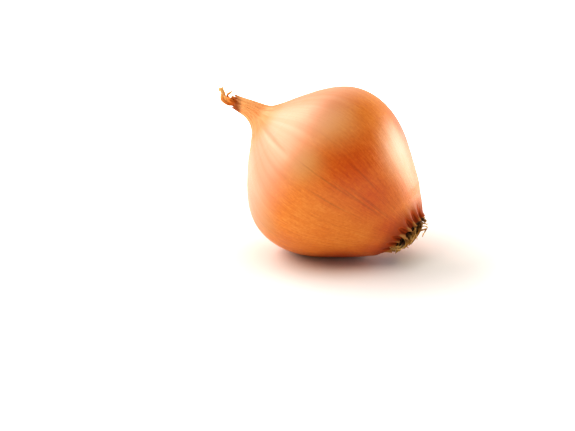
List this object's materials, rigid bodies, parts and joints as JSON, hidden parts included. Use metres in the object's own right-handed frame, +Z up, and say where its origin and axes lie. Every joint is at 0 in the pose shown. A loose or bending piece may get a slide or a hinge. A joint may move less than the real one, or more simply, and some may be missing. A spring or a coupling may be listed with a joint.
{
  "type": "onion",
  "caption": "Whole brown onion with papery copper skin, a tapered neck with dried leaf ends and a tuft of dry roots, lying on its side.",
  "frame": {"origin": "centre of the small flat spot that the onion lies on", "axes": "+Z up; the onion's own axis lies in the XZ plane, its root end towards +X and its neck towards -X, rising 32 degrees"},
  "size_m": [0.1031, 0.0804, 0.0767],
  "materials": {
    "papery_skin": "satin",
    "dried_root": "matte",
    "dried_leaf": "matte"
  },
  "bodies": {
    "root": {"bulb": "papery_skin", "roots": "dried_root", "dried_leaves": "dried_leaf"}
  },
  "joints": []
}
